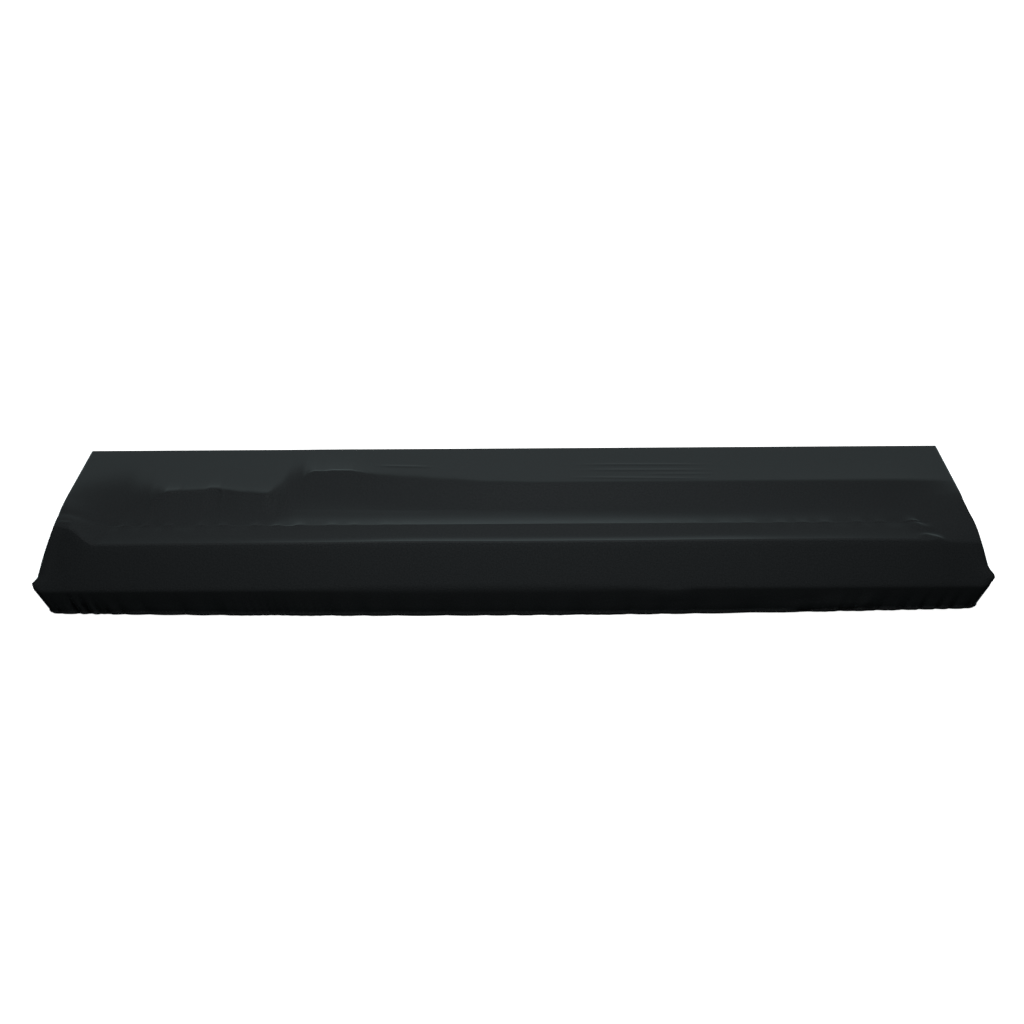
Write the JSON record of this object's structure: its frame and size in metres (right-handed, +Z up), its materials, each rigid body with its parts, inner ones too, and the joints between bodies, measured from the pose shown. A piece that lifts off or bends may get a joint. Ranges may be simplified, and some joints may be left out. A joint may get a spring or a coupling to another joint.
{
  "type": "fitted stretch cover for a slab piano keyboard",
  "caption": "Fitted stretch cloth cover for a slab piano keyboard, hollow and open underneath, with darted corners and a gathered elastic hem; key tips print through softly.",
  "frame": {"origin": "on the inner face of the cloth, over the middle of the covered keyboard's top panel, where the keyboard carries it", "axes": "+X along the keys to the player's right, +Y away from the player, +Z up"},
  "size_m": [1.1969, 0.3171, 0.146],
  "materials": {
    "stretch_jersey": "black warp-knitted nylon and elastane jersey, matt with a faint sheen"
  },
  "bodies": {
    "root": {"cover_cloth": "stretch_jersey"}
  },
  "joints": []
}
